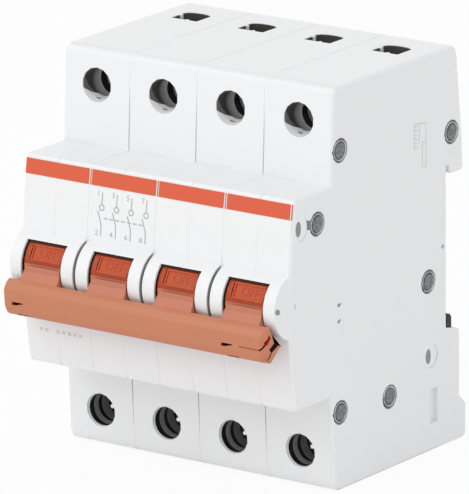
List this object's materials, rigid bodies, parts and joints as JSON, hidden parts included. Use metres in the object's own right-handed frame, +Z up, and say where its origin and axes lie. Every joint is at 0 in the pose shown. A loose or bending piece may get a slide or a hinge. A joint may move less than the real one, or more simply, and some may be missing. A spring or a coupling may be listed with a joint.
{
  "type": "din rail switch disconnector",
  "caption": "Multi-pole DIN rail switch disconnector with a white housing, screw terminals above and below, and an orange bar that gangs the toggles.",
  "frame": {"origin": "centre of the overall box, on the lower end face", "axes": "+X across the poles, +Y from the handle towards the rail, +Z up along the rail-mounted housing"},
  "size_m": [0.0698, 0.074, 0.088],
  "materials": {
    "white_polyamide": "fine matt moulded",
    "orange_polyamide": "semi-gloss moulded",
    "bar_polyamide": "satin moulded",
    "zinc_plated_steel": "zinc plated",
    "nickel_plated_steel": "nickel plated",
    "copper": "bare copper",
    "rivet_steel": "dark steel",
    "spring_steel": "drawn wire",
    "dark_polyamide": "matt moulded"
  },
  "bodies": {
    "housing": {"pole1_left_shell": "white_polyamide", "pole1_right_shell": "white_polyamide", "pole1_fixed_contact": "copper", "pole1_lower_strip": "copper", "pole2_left_shell": "white_polyamide", "pole2_right_shell": "white_polyamide", "pole2_fixed_contact": "copper", "pole2_lower_strip": "copper", "pole3_left_shell": "white_polyamide", "pole3_right_shell": "white_polyamide", "pole3_fixed_contact": "copper", "pole3_lower_strip": "copper", "pole4_left_shell": "white_polyamide", "pole4_right_shell": "white_polyamide", "pole4_fixed_contact": "copper", "pole4_lower_strip": "copper", "rivet_1": "rivet_steel", "rivet_2": "rivet_steel", "rivet_3": "rivet_steel", "rivet_4": "rivet_steel", "rivet_5": "rivet_steel", "rivet_6": "rivet_steel"},
    "handle": {"handle_bar": "bar_polyamide", "pole1_toggle": "orange_polyamide", "pole2_toggle": "orange_polyamide", "pole3_toggle": "orange_polyamide", "pole4_toggle": "orange_polyamide"},
    "pole1_arm": {"pole1_moving_contact": "copper"},
    "pole1_link_rod": {"pole1_link": "spring_steel"},
    "pole1_upper_terminal_screw": {"pole1_upper_screw": "nickel_plated_steel"},
    "pole1_upper_clamp": {"pole1_upper_cage": "zinc_plated_steel"},
    "pole1_lower_terminal_screw": {"pole1_lower_screw": "nickel_plated_steel"},
    "pole1_lower_clamp": {"pole1_lower_cage": "zinc_plated_steel"},
    "pole1_clip": {"pole1_rail_clip": "dark_polyamide"},
    "pole2_arm": {"pole2_moving_contact": "copper"},
    "pole2_link_rod": {"pole2_link": "spring_steel"},
    "pole2_upper_terminal_screw": {"pole2_upper_screw": "nickel_plated_steel"},
    "pole2_upper_clamp": {"pole2_upper_cage": "zinc_plated_steel"},
    "pole2_lower_terminal_screw": {"pole2_lower_screw": "nickel_plated_steel"},
    "pole2_lower_clamp": {"pole2_lower_cage": "zinc_plated_steel"},
    "pole2_clip": {"pole2_rail_clip": "dark_polyamide"},
    "pole3_arm": {"pole3_moving_contact": "copper"},
    "pole3_link_rod": {"pole3_link": "spring_steel"},
    "pole3_upper_terminal_screw": {"pole3_upper_screw": "nickel_plated_steel"},
    "pole3_upper_clamp": {"pole3_upper_cage": "zinc_plated_steel"},
    "pole3_lower_terminal_screw": {"pole3_lower_screw": "nickel_plated_steel"},
    "pole3_lower_clamp": {"pole3_lower_cage": "zinc_plated_steel"},
    "pole3_clip": {"pole3_rail_clip": "dark_polyamide"},
    "pole4_arm": {"pole4_moving_contact": "copper"},
    "pole4_link_rod": {"pole4_link": "spring_steel"},
    "pole4_upper_terminal_screw": {"pole4_upper_screw": "nickel_plated_steel"},
    "pole4_upper_clamp": {"pole4_upper_cage": "zinc_plated_steel"},
    "pole4_lower_terminal_screw": {"pole4_lower_screw": "nickel_plated_steel"},
    "pole4_lower_clamp": {"pole4_lower_cage": "zinc_plated_steel"},
    "pole4_clip": {"pole4_rail_clip": "dark_polyamide"}
  },
  "joints": [
    {"name": "handle_hinge", "type": "hinge", "parent": "housing", "child": "handle", "pos_m": [0, -0.0268, 0.044], "axis": [-1, 0, 0], "range_deg": [0, 68]},
    {"name": "pole1_arm_hinge", "type": "hinge", "parent": "housing", "child": "pole1_arm", "pos_m": [-0.02625, -0.0025, 0.027], "axis": [-1, 0, 0], "range_deg": [0, 17.85]},
    {"name": "pole1_link_hinge", "type": "hinge", "parent": "handle", "child": "pole1_link_rod", "pos_m": [-0.02625, -0.02536, 0.04795], "axis": [1, 0, 0], "range_deg": [0, 83.51]},
    {"name": "pole1_upper_screw_turn", "type": "hinge", "parent": "housing", "child": "pole1_upper_terminal_screw", "pos_m": [-0.02625, -0.004, 0.0801], "axis": [0, 1, 0], "range_deg": [0, 2476]},
    {"name": "pole1_upper_clamp_slide", "type": "slide", "parent": "housing", "child": "pole1_upper_clamp", "axis": [0, -1, 0], "range_m": [0, 0.0055]},
    {"name": "pole1_lower_screw_turn", "type": "hinge", "parent": "housing", "child": "pole1_lower_terminal_screw", "pos_m": [-0.02625, -0.004, 0.0079], "axis": [0, 1, 0], "range_deg": [0, 2476]},
    {"name": "pole1_lower_clamp_slide", "type": "slide", "parent": "housing", "child": "pole1_lower_clamp", "axis": [0, -1, 0], "range_m": [0, 0.0055]},
    {"name": "pole1_clip_slide", "type": "slide", "parent": "housing", "child": "pole1_clip", "axis": [0, 0, -1], "range_m": [0, 0.0035], "stiffness_N_per_m": 400, "springref_m": -0.003},
    {"name": "pole2_arm_hinge", "type": "hinge", "parent": "housing", "child": "pole2_arm", "pos_m": [-0.00875, -0.0025, 0.027], "axis": [-1, 0, 0], "range_deg": [0, 17.85]},
    {"name": "pole2_link_hinge", "type": "hinge", "parent": "handle", "child": "pole2_link_rod", "pos_m": [-0.00875, -0.02536, 0.04795], "axis": [1, 0, 0], "range_deg": [0, 83.51]},
    {"name": "pole2_upper_screw_turn", "type": "hinge", "parent": "housing", "child": "pole2_upper_terminal_screw", "pos_m": [-0.00875, -0.004, 0.0801], "axis": [0, 1, 0], "range_deg": [0, 2476]},
    {"name": "pole2_upper_clamp_slide", "type": "slide", "parent": "housing", "child": "pole2_upper_clamp", "axis": [0, -1, 0], "range_m": [0, 0.0055]},
    {"name": "pole2_lower_screw_turn", "type": "hinge", "parent": "housing", "child": "pole2_lower_terminal_screw", "pos_m": [-0.00875, -0.004, 0.0079], "axis": [0, 1, 0], "range_deg": [0, 2476]},
    {"name": "pole2_lower_clamp_slide", "type": "slide", "parent": "housing", "child": "pole2_lower_clamp", "axis": [0, -1, 0], "range_m": [0, 0.0055]},
    {"name": "pole2_clip_slide", "type": "slide", "parent": "housing", "child": "pole2_clip", "axis": [0, 0, -1], "range_m": [0, 0.0035], "stiffness_N_per_m": 400, "springref_m": -0.003},
    {"name": "pole3_arm_hinge", "type": "hinge", "parent": "housing", "child": "pole3_arm", "pos_m": [0.00875, -0.0025, 0.027], "axis": [-1, 0, 0], "range_deg": [0, 17.85]},
    {"name": "pole3_link_hinge", "type": "hinge", "parent": "handle", "child": "pole3_link_rod", "pos_m": [0.00875, -0.02536, 0.04795], "axis": [1, 0, 0], "range_deg": [0, 83.51]},
    {"name": "pole3_upper_screw_turn", "type": "hinge", "parent": "housing", "child": "pole3_upper_terminal_screw", "pos_m": [0.00875, -0.004, 0.0801], "axis": [0, 1, 0], "range_deg": [0, 2476]},
    {"name": "pole3_upper_clamp_slide", "type": "slide", "parent": "housing", "child": "pole3_upper_clamp", "axis": [0, -1, 0], "range_m": [0, 0.0055]},
    {"name": "pole3_lower_screw_turn", "type": "hinge", "parent": "housing", "child": "pole3_lower_terminal_screw", "pos_m": [0.00875, -0.004, 0.0079], "axis": [0, 1, 0], "range_deg": [0, 2476]},
    {"name": "pole3_lower_clamp_slide", "type": "slide", "parent": "housing", "child": "pole3_lower_clamp", "axis": [0, -1, 0], "range_m": [0, 0.0055]},
    {"name": "pole3_clip_slide", "type": "slide", "parent": "housing", "child": "pole3_clip", "axis": [0, 0, -1], "range_m": [0, 0.0035], "stiffness_N_per_m": 400, "springref_m": -0.003},
    {"name": "pole4_arm_hinge", "type": "hinge", "parent": "housing", "child": "pole4_arm", "pos_m": [0.02625, -0.0025, 0.027], "axis": [-1, 0, 0], "range_deg": [0, 17.85]},
    {"name": "pole4_link_hinge", "type": "hinge", "parent": "handle", "child": "pole4_link_rod", "pos_m": [0.02625, -0.02536, 0.04795], "axis": [1, 0, 0], "range_deg": [0, 83.51]},
    {"name": "pole4_upper_screw_turn", "type": "hinge", "parent": "housing", "child": "pole4_upper_terminal_screw", "pos_m": [0.02625, -0.004, 0.0801], "axis": [0, 1, 0], "range_deg": [0, 2476]},
    {"name": "pole4_upper_clamp_slide", "type": "slide", "parent": "housing", "child": "pole4_upper_clamp", "axis": [0, -1, 0], "range_m": [0, 0.0055]},
    {"name": "pole4_lower_screw_turn", "type": "hinge", "parent": "housing", "child": "pole4_lower_terminal_screw", "pos_m": [0.02625, -0.004, 0.0079], "axis": [0, 1, 0], "range_deg": [0, 2476]},
    {"name": "pole4_lower_clamp_slide", "type": "slide", "parent": "housing", "child": "pole4_lower_clamp", "axis": [0, -1, 0], "range_m": [0, 0.0055]},
    {"name": "pole4_clip_slide", "type": "slide", "parent": "housing", "child": "pole4_clip", "axis": [0, 0, -1], "range_m": [0, 0.0035], "stiffness_N_per_m": 400, "springref_m": -0.003}
  ],
  "couplings": [
    {"joint": "pole1_arm_hinge", "follows": "handle_hinge", "ratio": 0.2625},
    {"joint": "pole1_link_hinge", "follows": "handle_hinge", "ratio": 1.228},
    {"joint": "pole1_upper_screw_turn", "follows": "pole1_upper_clamp_slide", "rad_per_m": 7854},
    {"joint": "pole1_lower_screw_turn", "follows": "pole1_lower_clamp_slide", "rad_per_m": 7854},
    {"joint": "pole2_arm_hinge", "follows": "handle_hinge", "ratio": 0.2625},
    {"joint": "pole2_link_hinge", "follows": "handle_hinge", "ratio": 1.228},
    {"joint": "pole2_upper_screw_turn", "follows": "pole2_upper_clamp_slide", "rad_per_m": 7854},
    {"joint": "pole2_lower_screw_turn", "follows": "pole2_lower_clamp_slide", "rad_per_m": 7854},
    {"joint": "pole3_arm_hinge", "follows": "handle_hinge", "ratio": 0.2625},
    {"joint": "pole3_link_hinge", "follows": "handle_hinge", "ratio": 1.228},
    {"joint": "pole3_upper_screw_turn", "follows": "pole3_upper_clamp_slide", "rad_per_m": 7854},
    {"joint": "pole3_lower_screw_turn", "follows": "pole3_lower_clamp_slide", "rad_per_m": 7854},
    {"joint": "pole4_arm_hinge", "follows": "handle_hinge", "ratio": 0.2625},
    {"joint": "pole4_link_hinge", "follows": "handle_hinge", "ratio": 1.228},
    {"joint": "pole4_upper_screw_turn", "follows": "pole4_upper_clamp_slide", "rad_per_m": 7854},
    {"joint": "pole4_lower_screw_turn", "follows": "pole4_lower_clamp_slide", "rad_per_m": 7854}
  ]
}
